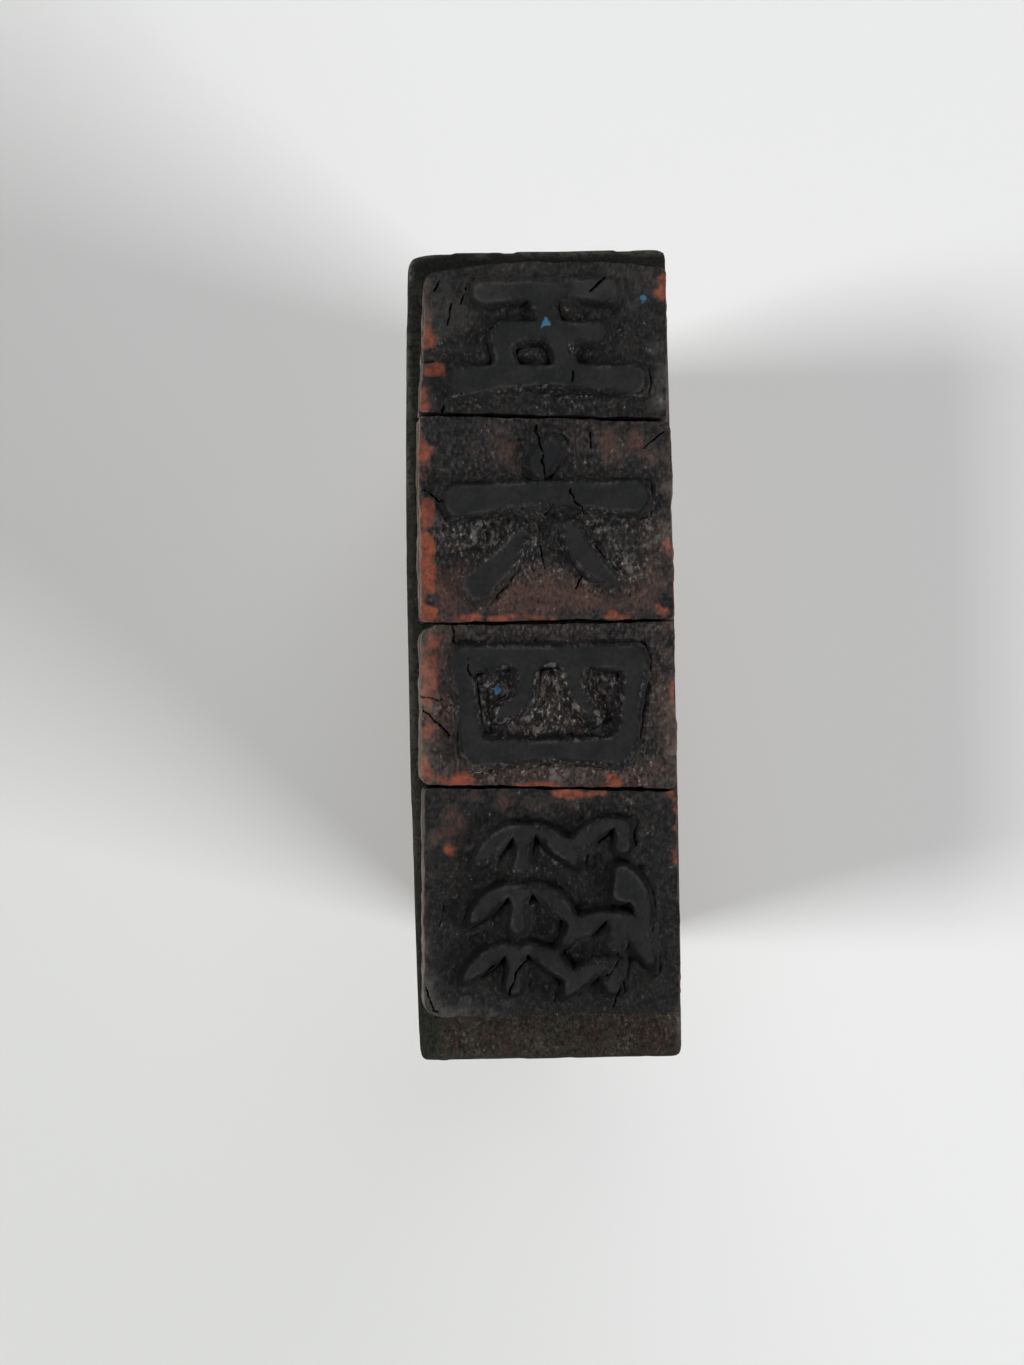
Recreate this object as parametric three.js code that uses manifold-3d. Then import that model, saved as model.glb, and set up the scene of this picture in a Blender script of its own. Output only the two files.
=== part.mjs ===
// A hand stamp for prices and marks: a moulded wooden handle with four separately cut rubber
// dies stuck in a row on its face. It stands on the flat end of its handle, dies upward.
// Millimetres. +Z runs from the handle's flat end to the dies, +Y along the row of dies,
// and the origin is the middle of the flat end.

import * as THREE from 'three';
import { mergeVertices } from 'three/addons/utils/BufferGeometryUtils.js';
import Module from 'manifold-3d';

const wasm = await Module();
wasm.setup();

// Handle, a straight moulding
const HANDLE_HEIGHT = 32.5;
const FACE_WIDTH = 17.9;
const PLATE_THICKNESS = 5;
const PLATE_EDGE_ROUND = 0.4;
const PLATE_LEDGE = 0.6;
const COVE_DEPTH = 6.5;
const WAIST_WIDTH = 9.6;
const WAIST_HEIGHT = 17;
const HEAD_WIDTH = 11.8;
const FOOT_WIDTH = 10.4;
const FOOT_ROUND = 1.4;
const FACE_CORNERS = { farLeft: 0.9, farRight: 0.6, nearRight: 0.3, nearLeft: 0.6 };
const FACE_SHORTFALLS = { farLeft: 0.42, farRight: 0.19, nearRight: 0.07, nearLeft: 0.34 };
const FACE_BOWS = { near: 0, right: 0.13, far: 0, left: 0.38 };

// Rubber dies, and the rubber cement under each. A stroke's round end is as long as a share of
// its half width.
const CEMENT_THICKNESS = 0.2;
const CEMENT_INSET = 0.25;
const DIE_BASE = 1.3;
const WALL_FLARE = 0.35;
const CUT_FLARE = 0.05;
const RIM_ROUND = 0.2;
const MOUND_HEIGHT = 0.3;
const MOUND_BORDER = 1.3;
const MOUND_SLOPE = 0.7;
const RELIEF = 0.7;
const SHOULDER = 0.35;
const STROKE_EDGE = 0.07;
const STROKE_END_LENGTH = 0.5;
const ROOT_DEPTH = 0.5;
const PRINT_BORDER = 1.25;

// The row of dies on the face, with bare wood past both of its ends
const FAR_MARGIN = 1.7;
const FIVE_LENGTH = 9.72;
const SIX_LENGTH = 13.13;
const FOUR_LENGTH = 10.53;
const BAMBOO_LENGTH = 14.94;
const NEAR_MARGIN = 3.26;
const KNIFE_GAP = 0.24;
const FAR_EDGE_BOW = 0.5;

// Numerals as they read. A path runs through points given in halves of the print's width and
// length from its middle; its widths, at the same points, are millimetres.
const FIVE = [
  { path: [[-0.65, 0.81], [0, 0.85], [0.65, 0.81]], widths: [1.6, 1.2, 1.6] },
  { path: [[0.07, 0.76], [-0.07, 0.05], [-0.21, -0.68]], widths: [1.4, 1.15, 1.3] },
  { path: [[-0.52, 0.08], [-0.06, 0.11], [0.44, 0.08]], widths: [1.4, 1.1, 1.5] },
  { path: [[0.44, 0.08], [0.41, -0.3], [0.34, -0.68]], widths: [1.5, 1.25, 1.3] },
  { path: [[-0.86, -0.78], [0, -0.7], [0.86, -0.78]], widths: [2.1, 1.4, 2.1] },
];
const SIX = [
  { path: [[-0.1, 0.94], [-0.01, 0.75], [0.07, 0.57]], widths: [1.1, 1.8, 1.3] },
  { path: [[-0.85, 0.23], [0, 0.29], [0.85, 0.23]], widths: [2.2, 1.5, 2.2] },
  { path: [[-0.2, -0.1], [-0.34, -0.49], [-0.67, -0.9]], widths: [1.3, 1.6, 0.8] },
  { path: [[0.18, -0.1], [0.37, -0.47], [0.67, -0.87]], widths: [0.9, 1.7, 2.2] },
];
const FOUR = [
  { path: [[-0.8, 0.75], [0, 0.79], [0.8, 0.75]], widths: [1.7, 1.3, 1.7] },
  { path: [[-0.78, 0.72], [-0.73, 0], [-0.68, -0.75]], widths: [1.5, 1.3, 1.4] },
  { path: [[0.78, 0.72], [0.73, 0], [0.68, -0.75]], widths: [1.5, 1.3, 1.4] },
  { path: [[-0.22, 0.72], [-0.25, 0.17], [-0.43, -0.28]], widths: [1.3, 1.25, 0.7] },
  { path: [[0.19, 0.72], [0.22, 0.12], [0.46, -0.15]], widths: [1.3, 1.3, 1.1] },
  { path: [[-0.68, -0.77], [0, -0.71], [0.68, -0.77]], widths: [1.9, 1.3, 1.9] },
];

// Bamboo, an ornament: stalks of short canes, placed as a numeral's points are, and leaves
// hanging from their joints, lowest first, at angles in degrees from +X. A leaf's shares are
// places along its length, each with its share of the full width.
const CANE_WIDTH = 0.9;
const CANE_JOINT_WIDTH = 1.25;
const CANE_JOINT_GAP = 0.55;
const LEAF_WIDTH = 1.25;
const LEAF_LENGTH = 4.1;
const LEAF_STEM = 0.75;
const LEAF_DROOP = 10;
const LEAF_SHARES = [[0, 0.35], [0.35, 1], [0.7, 0.8], [1, 0.15]];
const STALKS = [
  { foot: [-0.36, -0.97], tip: [-0.22, 0.9], leaves: [[-28, -152], [-30, -150], [-34, -148]] },
  { foot: [0.52, -0.97], tip: [0.66, 0.94], leaves: [[-150], [-156, -52], [-60], [-156]] },
];

// Each die: its length along the row, the slant in degrees of the knife cut past it, the bare
// wood left beside its far and near corners, its corners' rounds, and the strokes it prints
const DIES = [
  {
    name: 'five',
    length: FIVE_LENGTH,
    cutSlant: -2.2,
    bareLeft: [1.49, 0.89],
    bareRight: [0.15, 0.22],
    corners: { farLeft: 0.8, farRight: 0.5, nearRight: 0.25, nearLeft: 0.3 },
    strokes: (print) => numeralStrokes(FIVE, print),
  },
  {
    name: 'six',
    length: SIX_LENGTH,
    cutSlant: 0,
    bareLeft: [0.81, 0.69],
    bareRight: [0.07, 0.08],
    corners: { farLeft: 0.35, farRight: 0.35, nearRight: 0.3, nearLeft: 0.4 },
    strokes: (print) => numeralStrokes(SIX, print),
  },
  {
    name: 'four',
    length: FOUR_LENGTH,
    cutSlant: -1.8,
    bareLeft: [0.74, 0.55],
    bareRight: [0.09, 0.1],
    corners: { farLeft: 1.0, farRight: 0.4, nearRight: 0.3, nearLeft: 0.8 },
    strokes: (print) => numeralStrokes(FOUR, print),
  },
  {
    name: 'bamboo',
    length: BAMBOO_LENGTH,
    cutSlant: 0,
    bareLeft: [0.67, 0.47],
    bareRight: [0.08, 0.1],
    corners: { farLeft: 0.4, farRight: 0.35, nearRight: 1.2, nearLeft: 1.2 },
    strokes: (print) => bambooStrokes(print),
  },
];

// How finely curves are stepped, and how far a cutting solid runs past what it cuts
const CURVE_STEPS = 10;
const CORNER_STEPS = 4;
const STROKE_STEPS = 8;
const CAP_STEPS = 3;
const MERGE_DISTANCE = 1e-5;
const CUT_OVERRUN = 1;

// Finishes
const STAINED_WOOD = { color: 0x2d2a22, roughness: 0.8, metalness: 0 };
const INKED_RUBBER = { color: 0x33302f, roughness: 0.72, metalness: 0 };
const DRIED_CEMENT = { color: 0x5a3a24, roughness: 0.55, metalness: 0 };

// A die carries its numeral mirror-written, so that it prints the right way round
function numeralStrokes(numeral, print) {
  return numeral.map(({ path, widths }) => ({
    path: path.map(([x, y]) => new THREE.Vector2(-x * print.x, y * print.y)),
    widths,
  }));
}

function bambooStrokes(print) {
  const place = ([x, y]) => new THREE.Vector2(x, y).multiply(print);
  const leaf = (joint, degrees) => {
    const side = Math.sign(Math.cos(THREE.MathUtils.degToRad(degrees)));
    const path = LEAF_SHARES.map(([t]) => {
      const angle = THREE.MathUtils.degToRad(degrees - side * LEAF_DROOP * t);
      const ray = new THREE.Vector2(Math.cos(angle), Math.sin(angle));
      return joint.clone().addScaledVector(ray, LEAF_STEM + LEAF_LENGTH * t);
    });
    return { path, widths: LEAF_SHARES.map(([, share]) => share * LEAF_WIDTH) };
  };
  return STALKS.flatMap(({ foot, tip, leaves }) => {
    const from = place(foot);
    const along = place(tip).sub(from).divideScalar(leaves.length);
    const gap = CANE_JOINT_GAP / along.length();
    return leaves.flatMap((angles, i) => {
      const at = (canes) => from.clone().addScaledVector(along, canes);
      const cane = {
        path: [at(i + gap), at(i + 0.5), at(i + 1 - gap)],
        widths: [CANE_JOINT_WIDTH, CANE_WIDTH, CANE_JOINT_WIDTH],
      };
      return [cane, ...angles.map((degrees) => leaf(at(i + 1), degrees))];
    });
  });
}

// A closed solid through outlines of equally many points, each at its own height, lowest first
function stacked(levels) {
  const count = levels[0].outline.length;
  const last = levels.length - 1;
  const positions = levels.flatMap(({ outline, z }) => outline.flatMap((p) => [p.x, p.y, z]));
  const cap = (level) => THREE.ShapeUtils.triangulateShape(levels[level].outline, []);
  const index = cap(0).flatMap(([a, b, c]) => [a, c, b]);
  for (let level = 0; level < last; level += 1) {
    for (let i = 0; i < count; i += 1) {
      const a = level * count + i;
      const b = level * count + ((i + 1) % count);
      index.push(a, b, b + count, a, b + count, a + count);
    }
  }
  index.push(...cap(last).flat().map((i) => i + last * count));
  const geometry = new THREE.BufferGeometry();
  geometry.setAttribute('position', new THREE.Float32BufferAttribute(positions, 3));
  geometry.setIndex(index);
  return geometry;
}

function toSolid(geometry) {
  const bare = geometry.clone();
  bare.deleteAttribute('normal');
  bare.deleteAttribute('uv');
  const merged = mergeVertices(bare, MERGE_DISTANCE);
  return new wasm.Manifold(new wasm.Mesh({
    numProp: 3,
    vertProperties: new Float32Array(merged.attributes.position.array),
    triVerts: new Uint32Array(merged.index.array),
  }));
}

function toGeometry(solid) {
  const mesh = solid.getMesh();
  const geometry = new THREE.BufferGeometry();
  geometry.setAttribute('position', new THREE.Float32BufferAttribute(mesh.vertProperties, 3));
  geometry.setIndex(Array.from(mesh.triVerts));
  return geometry;
}

function piece(name, geometry, finish) {
  const facets = geometry.toNonIndexed();
  facets.computeVertexNormals();
  const mesh = new THREE.Mesh(facets, new THREE.MeshStandardMaterial(finish));
  mesh.name = name;
  return mesh;
}

// The corners of a four-sided outline, anticlockwise from near left, each side moved inward by
// its own distance
function insetCorners(corners, { near, right, far, left }) {
  const distances = [near, right, far, left];
  return corners.map((corner, i) => {
    const before = corner.clone().sub(corners[(i + 3) % 4]).normalize();
    const after = corners[(i + 1) % 4].clone().sub(corner).normalize();
    const sine = before.cross(after);
    return corner.clone()
      .addScaledVector(after, distances[(i + 3) % 4] / sine)
      .addScaledVector(before, -distances[i] / sine);
  });
}

// The same distance for each side
function allRound(distance) {
  return { near: distance, right: distance, far: distance, left: distance };
}

// A four-sided outline with rounded corners, anticlockwise; its sides may bow outward
function roundedOutline(corners, rounds, { bows = allRound(0), insets = allRound(0) } = {}) {
  const order = [rounds.nearLeft, rounds.nearRight, rounds.farRight, rounds.farLeft];
  const sides = insetCorners(corners, insets);
  const arcs = sides.map((corner, i) => {
    const before = sides[(i + 3) % 4].clone().sub(corner).normalize();
    const after = sides[(i + 1) % 4].clone().sub(corner).normalize();
    const from = corner.clone().addScaledVector(before, order[i]);
    const to = corner.clone().addScaledVector(after, order[i]);
    return new THREE.QuadraticBezierCurve(from, corner, to).getPoints(CORNER_STEPS);
  });
  return [bows.near, bows.right, bows.far, bows.left].flatMap((bow, i) => {
    if (bow === 0) {
      return arcs[i];
    }
    const from = arcs[i].at(-1);
    const to = arcs[(i + 1) % 4][0];
    const outward = new THREE.Vector2(to.y - from.y, from.x - to.x).normalize();
    const middle = from.clone().add(to).multiplyScalar(0.5).addScaledVector(outward, 2 * bow);
    const side = new THREE.QuadraticBezierCurve(from, middle, to).getPoints(CURVE_STEPS);
    return [...arcs[i], ...side.slice(1, -1)];
  });
}

// The outline of one stroke with blunt round ends, widened all round by a margin
function strokeOutline({ path, widths }, margin) {
  const line = new THREE.SplineCurve(path);
  const breadth = new THREE.SplineCurve(widths.map((width, i) => new THREE.Vector2(i, width)));
  const halfWidth = (t) => breadth.getPoint(t).y / 2 + margin;
  const leftward = (t) => {
    const along = line.getTangent(t);
    return new THREE.Vector2(-along.y, along.x);
  };
  const beside = (t, side) => line.getPoint(t).addScaledVector(leftward(t), side * halfWidth(t));
  const cap = (t, ahead) => Array.from({ length: CAP_STEPS }, (_, k) => {
    const angle = Math.PI * ((k + 1) / (CAP_STEPS + 1) - 0.5);
    const reach = STROKE_END_LENGTH * (halfWidth(t) - margin) + margin;
    return line.getPoint(t)
      .addScaledVector(line.getTangent(t), ahead * reach * Math.cos(angle))
      .addScaledVector(leftward(t), ahead * halfWidth(t) * Math.sin(angle));
  });
  const steps = Array.from({ length: STROKE_STEPS + 1 }, (_, i) => i / STROKE_STEPS);
  const rightSide = steps.map((t) => beside(t, -1));
  const leftSide = steps.toReversed().map((t) => beside(t, 1));
  return [...rightSide, ...cap(1, 1), ...leftSide, ...cap(0, -1)];
}

// The handle: one moulding cut to the length of the row, with its face's corners rounded
function makeHandle(faceLength) {
  const face = FACE_WIDTH / 2;
  const waist = WAIST_WIDTH / 2;
  const head = HEAD_WIDTH / 2;
  const plate = HANDLE_HEIGHT - PLATE_THICKNESS;
  const headTop = WAIST_HEIGHT / 2;
  const side = new THREE.Path();
  side.moveTo(FOOT_WIDTH / 2, 0);
  side.quadraticCurveTo(head, 0, head, FOOT_ROUND);
  side.bezierCurveTo(head, headTop, waist, headTop, waist, WAIST_HEIGHT);
  side.lineTo(waist, plate - COVE_DEPTH);
  side.quadraticCurveTo(waist, plate, face - PLATE_LEDGE, plate);
  side.lineTo(face - PLATE_EDGE_ROUND, plate);
  side.quadraticCurveTo(face, plate, face, plate + PLATE_EDGE_ROUND);
  side.lineTo(face, HANDLE_HEIGHT - PLATE_EDGE_ROUND);
  side.quadraticCurveTo(face, HANDLE_HEIGHT, face - PLATE_EDGE_ROUND, HANDLE_HEIGHT);
  const right = side.getPoints(CURVE_STEPS);
  const left = right.map((p) => new THREE.Vector2(-p.x, p.y)).reverse();
  const moulding = new THREE.ExtrudeGeometry(new THREE.Shape([...right, ...left]), {
    depth: faceLength,
    bevelEnabled: false,
  });
  moulding.rotateX(Math.PI / 2);
  moulding.translate(0, faceLength / 2, 0);
  const { nearLeft, nearRight, farRight, farLeft } = FACE_SHORTFALLS;
  const corners = [[-1, -1, nearLeft], [1, -1, nearRight], [1, 1, farRight], [-1, 1, farLeft]].map(
    ([x, y, shortfall]) => new THREE.Vector2(x * (face - shortfall), (y * faceLength) / 2),
  );
  const plan = roundedOutline(corners, FACE_CORNERS, { bows: FACE_BOWS });
  const column = stacked([
    { outline: plan, z: -CUT_OVERRUN },
    { outline: plan, z: HANDLE_HEIGHT + CUT_OVERRUN },
  ]);
  return toGeometry(toSolid(moulding).intersect(toSolid(column)));
}

// One rubber die about its middle, its underside at height 0. Its outer sides flare downward,
// and where a knife parted it from the next die its end is steep.
function makeDie(corners, die, bows, flares) {
  const top = DIE_BASE + MOUND_HEIGHT + RELIEF;
  const ring = (insets, z) => ({ outline: roundedOutline(corners, die.corners, { bows, insets }), z });
  const rim = Object.fromEntries(
    Object.entries(flares).map(([side, flare]) => [side, flare + RIM_ROUND]),
  );
  const slab = stacked([ring(allRound(0), 0), ring(flares, DIE_BASE - RIM_ROUND), ring(rim, DIE_BASE)]);
  const mound = stacked([
    ring(allRound(MOUND_BORDER), DIE_BASE - ROOT_DEPTH),
    ring(allRound(MOUND_BORDER), DIE_BASE),
    ring(allRound(MOUND_BORDER + MOUND_SLOPE), DIE_BASE + MOUND_HEIGHT),
  ]);
  const print = new THREE.Vector2(
    (FACE_WIDTH - die.bareLeft[0] - die.bareRight[0]) / 2 - PRINT_BORDER,
    die.length / 2 - PRINT_BORDER,
  );
  return toGeometry(die.strokes(print).reduce((solid, stroke) => {
    const level = (margin, z) => ({ outline: strokeOutline(stroke, margin), z });
    return solid.add(toSolid(stacked([
      level(SHOULDER, DIE_BASE - ROOT_DEPTH),
      level(SHOULDER, DIE_BASE),
      level(STROKE_EDGE, top - STROKE_EDGE),
      level(0, top),
    ])));
  }, toSolid(slab).add(toSolid(mound))));
}

const rowLength = DIES.reduce((sum, die) => sum + die.length + KNIFE_GAP, -KNIFE_GAP);
const faceLength = FAR_MARGIN + rowLength + NEAR_MARGIN;
const stamp = new THREE.Group();
stamp.add(piece('handle', makeHandle(faceLength), STAINED_WOOD));

let farY = faceLength / 2 - FAR_MARGIN;
let farSlant = 0;
for (const [i, die] of DIES.entries()) {
  const nearY = farY - die.length;
  const middle = new THREE.Vector2((die.bareLeft[0] - die.bareRight[0]) / 2, (farY + nearY) / 2);
  const corner = (side, bare, y, slant) => {
    const x = side * (FACE_WIDTH / 2 - bare);
    return new THREE.Vector2(x, y + x * Math.tan(THREE.MathUtils.degToRad(slant))).sub(middle);
  };
  const corners = [
    corner(-1, die.bareLeft[1], nearY, die.cutSlant),
    corner(1, die.bareRight[1], nearY, die.cutSlant),
    corner(1, die.bareRight[0], farY, farSlant),
    corner(-1, die.bareLeft[0], farY, farSlant),
  ];
  const bows = { ...allRound(0), far: i === 0 ? FAR_EDGE_BOW : 0 };
  const flares = {
    ...allRound(WALL_FLARE),
    far: i === 0 ? WALL_FLARE : CUT_FLARE,
    near: i === DIES.length - 1 ? WALL_FLARE : CUT_FLARE,
  };
  const film = roundedOutline(corners, die.corners, { bows, insets: allRound(CEMENT_INSET) });
  const cement = piece(
    `cement_under_${die.name}`,
    stacked([{ outline: film, z: 0 }, { outline: film, z: CEMENT_THICKNESS }]),
    DRIED_CEMENT,
  );
  cement.position.set(middle.x, middle.y, HANDLE_HEIGHT);
  const rubber = piece(`die_${die.name}`, makeDie(corners, die, bows, flares), INKED_RUBBER);
  rubber.position.set(middle.x, middle.y, HANDLE_HEIGHT + CEMENT_THICKNESS);
  stamp.add(cement, rubber);
  farY = nearY - KNIFE_GAP;
  farSlant = die.cutSlant;
}

export default stamp;
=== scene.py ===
"""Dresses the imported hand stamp: worn rubber dies, their cement, a stained wooden handle and a studio."""

import logging
import math
from collections.abc import Sequence
from dataclasses import dataclass
from enum import Enum
from typing import Any

import bmesh
import bpy
import numpy as np
from mathutils import Matrix, Vector


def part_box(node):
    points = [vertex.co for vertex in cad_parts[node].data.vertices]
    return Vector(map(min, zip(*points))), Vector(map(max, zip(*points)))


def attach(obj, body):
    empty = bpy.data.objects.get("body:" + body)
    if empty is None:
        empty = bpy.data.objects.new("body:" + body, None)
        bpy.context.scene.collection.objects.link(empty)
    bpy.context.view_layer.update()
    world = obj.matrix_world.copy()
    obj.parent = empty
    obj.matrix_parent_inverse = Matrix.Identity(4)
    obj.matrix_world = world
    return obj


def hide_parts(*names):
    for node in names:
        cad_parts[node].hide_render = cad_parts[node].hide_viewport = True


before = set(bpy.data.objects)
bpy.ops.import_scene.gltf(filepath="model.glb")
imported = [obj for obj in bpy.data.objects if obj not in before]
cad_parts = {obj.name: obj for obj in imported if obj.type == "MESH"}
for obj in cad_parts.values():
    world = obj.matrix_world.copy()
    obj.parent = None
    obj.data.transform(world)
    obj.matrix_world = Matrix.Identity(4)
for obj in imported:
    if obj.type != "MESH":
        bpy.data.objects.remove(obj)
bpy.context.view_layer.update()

log = logging.getLogger("stamp")

# Lengths are in millimetres, which MM turns into metres.
MM = 0.001
Array = np.ndarray
Colour = tuple[float, float, float]
Place = tuple[float, float]
Point = tuple[float, float, float]
Spots = Sequence[tuple[float, float, float, float]]
Fleck = tuple[float, float, float, int]


class Slot(Enum):
    """The materials' names."""

    WOOD = "stained_wood"
    RUBBER = "inked_rubber"
    CEMENT = "dried_cement"


class Mark(Enum):
    """What a fine mesh carries at its points for its finish to read."""

    STROKE = "stroke"
    BARE = "bare"
    THIN = "thin"
    # Pale dusting and wear, and the painted highlight of left walls and corners.
    DUST_AND_HIGHLIGHT = "dust_and_highlight"
    # Painted shade in cracks, creases, beside the strokes and on knife-cut walls.
    PAINTED_SHADE = "dark"
    CRUMB = "crumb"
    BLUE = "blue"
    # Soot, and painted shade in hollows that the strokes enclose.
    SOOT_AND_SHADE = "soot"
    # A painted highlight along the strokes' rims.
    RIM_HIGHLIGHT = "rim"
    GRIT = "grit"


def srgb(*parts: int) -> Colour:
    """Turns a colour as a screen shows it into linear light.

    Args:
        parts: Its red, green and blue, 0 to 255.

    Returns:
        The colour in linear light.
    """
    shares = (part / 255 for part in parts)
    return tuple(v / 12.92 if v <= 0.04045 else ((v + 0.055) / 1.055) ** 2.4 for v in shares)


def ramp(values: Array, low: float, high: float) -> Array:
    """Rises smoothly from 0 to 1 as values go from low to high, or falls if low is the larger.

    Args:
        values: The values to grade.
        low: Where the result is 0.
        high: Where the result is 1.

    Returns:
        Shares from 0 to 1.
    """
    t = np.clip((values - low) / (high - low), 0, 1)
    return t * t * (3 - 2 * t)


class Grain:
    """Seeded random patterns in space."""

    SIDE = 32
    GAIN = 1.6
    OCTAVE_STEP = 7.3
    JITTER = 0.42

    def __init__(self, seed: int) -> None:
        """Draws the lattice from a seed."""
        self.values = np.random.default_rng(seed).uniform(-1, 1, (self.SIDE,) * 3)

    def cloud(self, points: Array, size: float | Sequence[float], octaves: int = 1) -> Array:
        """Gives soft noise.

        Args:
            points: Places, one row each.
            size: How large the noise's lumps are, along each axis if there are three.
            octaves: How many finer layers are added, each half as large and half as strong.

        Returns:
            Values around 0, about -1 to 1.
        """
        total = np.zeros(len(points))
        for octave in range(octaves):
            place = points / np.asarray(size) * 2**octave + self.OCTAVE_STEP * octave
            cell = np.floor(place).astype(int)
            t = place - cell
            t = t * t * (3 - 2 * t)
            layer = np.zeros(len(points))
            for corner in np.ndindex(2, 2, 2):
                at = tuple(((cell + corner) % self.SIDE).T)
                weight = np.prod(np.where(np.array(corner) == 1, t, 1 - t), axis=1)
                layer += weight * self.values[at]
            total += layer / 2**octave
        return total * self.GAIN

    def pebbles(self, points: Array, spacing: float) -> tuple[Array, Array]:
        """Scatters pebbles over the plan, one in each cell of a jittered grid.

        Args:
            points: Places, one row each; only X and Y count.
            spacing: The distance between pebbles.

        Returns:
            The distance from each place to its nearest pebble, and that pebble's own random share, 0 to 1.
        """
        plan = points[:, :2] / spacing
        cell = np.floor(plan).astype(int)
        nearest = np.full(len(points), np.inf)
        share = np.zeros(len(points))
        for step in np.ndindex(3, 3):
            here = cell + np.array(step) - 1
            at = here % self.SIDE
            centre = here + 0.5 + self.JITTER * np.stack(
                [self.values[at[:, 0], at[:, 1], layer] for layer in (0, 1)], axis=1
            )
            distance = np.hypot(*(plan - centre).T)
            closer = distance < nearest
            nearest[closer] = distance[closer]
            share[closer] = 0.5 + 0.5 * self.values[at[closer, 0], at[closer, 1], 2]
        return nearest * spacing, share


class FineMesh:
    """A fine even mesh made from a CAD node, shaped in millimetres."""

    WELD = 0.002
    FLAT = 0.02
    ASIDE = 40

    def __init__(self, name: str, node: str, voxel: float, seed: int) -> None:
        """Copies the node and gives the copy an even fine skin.

        Args:
            name: The new piece's name.
            node: The CAD node that it starts from.
            voxel: The size of the skin's faces.
            seed: The seed of its noise.
        """
        self.grain = Grain(seed)
        self.low, self.high = (np.array(corner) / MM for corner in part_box(node))
        self.piece = bpy.data.objects.new(name, self._welded(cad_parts[node].data))
        bpy.context.scene.collection.objects.link(self.piece)
        skin = self.piece.modifiers.new("skin", "REMESH")
        skin.mode = "VOXEL"
        skin.voxel_size = voxel
        shaped = self.piece.evaluated_get(bpy.context.evaluated_depsgraph_get())
        mesh = bpy.data.meshes.new_from_object(shaped)
        self.piece.modifiers.clear()
        self.piece.data = mesh
        mesh.name = name
        mesh.materials.clear()
        self.points = self._read(mesh.vertices, "co", 3)
        pairs = np.empty(2 * len(mesh.edges), int)
        mesh.edges.foreach_get("vertices", pairs)
        self.first, self.second = pairs.reshape(-1, 2).T
        self.neighbours = np.bincount(pairs, minlength=len(self.points))

    @classmethod
    def _welded(cls, source: bpy.types.Mesh) -> bpy.types.Mesh:
        """Copies a mesh into millimetres with its split points joined."""
        mesh = source.copy()
        mesh.transform(Matrix.Scale(1 / MM, 4))
        work = bmesh.new()
        work.from_mesh(mesh)
        bmesh.ops.remove_doubles(work, verts=work.verts, dist=cls.WELD)
        work.to_mesh(mesh)
        work.free()
        return mesh

    @staticmethod
    def _read(items: Any, name: str, width: int) -> Array:
        """Reads one property of every item into rows."""
        flat = np.empty(width * len(items))
        items.foreach_get(name, flat)
        return flat.reshape(-1, width)

    def normals(self) -> Array:
        """Gives the outward direction at each point as the mesh now stands."""
        mesh = self.piece.data
        mesh.vertices.foreach_set("co", self.points.ravel())
        mesh.update()
        return self._read(mesh.vertices, "normal", 3)

    def blurred(self, values: Array, rounds: int) -> Array:
        """Averages values with their neighbours'.

        Args:
            values: One value or row for each point.
            rounds: How many times each takes half of its neighbours' mean.

        Returns:
            The blurred values.
        """
        columns = values.reshape(len(values), -1).copy()
        count = len(columns)
        for _ in range(rounds):
            for column in columns.T:
                around = np.bincount(self.first, column[self.second], count)
                around += np.bincount(self.second, column[self.first], count)
                column += 0.5 * (around / self.neighbours - column)
        return columns.reshape(values.shape)

    def convexity(self, rounds: int) -> Array:
        """Tells how far each point stands proud of its blurred surroundings: less than 0 in creases."""
        return np.einsum("ij,ij->i", self.points - self.blurred(self.points, rounds), self.normals())

    def cloud(self, size: float, octaves: int = 1, shift: float = 0) -> Array:
        """Gives soft noise at each point, or further on by a shift."""
        return self.grain.cloud(self.points + shift, size, octaves)

    def sway(self, size: float, octaves: int) -> Array:
        """Gives soft noise for X and for Y, one row for each point."""
        return np.stack([self.cloud(size, octaves, shift) for shift in (0, self.ASIDE)], axis=1)

    def spots(self, places: Spots, fray: float, soft: float) -> Array:
        """Shades soft-edged spots in plan.

        Args:
            places: Each spot's middle and its half width and half length.
            fray: How far noise moves their outlines.
            soft: How far they fade on each side of their outline.

        Returns:
            Shares from 0 outside to 1 inside.
        """
        x, y, _ = self.points.T
        shade = np.zeros(len(x))
        ragged = fray * self.cloud(0.9, 3)
        for middle_x, middle_y, half_width, half_length in places:
            reach = np.hypot((x - middle_x) / half_width, (y - middle_y) / half_length)
            beyond = (reach - 1) * min(half_width, half_length) + ragged
            shade = np.maximum(shade, ramp(beyond, soft, -soft))
        return shade

    def flecks(self, places: Sequence[Fleck]) -> Array:
        """Shades small chips with straight sides.

        Args:
            places: Each chip's middle, its size from the middle to a side, and how many corners it has.

        Returns:
            Shares from 0 outside to 1 inside.
        """
        shade = np.zeros(len(self.points))
        ragged = 0.1 * self.cloud(0.3, 2)
        for x, y, size, corners in places:
            turns = 2 * math.pi * (np.arange(corners) + 0.3) / corners
            across = (self.points[:, :2] - (x, y)) @ np.array([np.cos(turns), np.sin(turns)])
            shade = np.maximum(shade, ramp(across.max(axis=1) - size + ragged, 0.05, -0.05))
        return shade

    def mark(self, mark: Mark, values: Array) -> None:
        """Stores a mark's values at the points for the finish to read."""
        made = self.piece.data.attributes.new(mark.value, "FLOAT", "POINT")
        made.data.foreach_set("value", np.asarray(values, dtype=np.float32))

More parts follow.
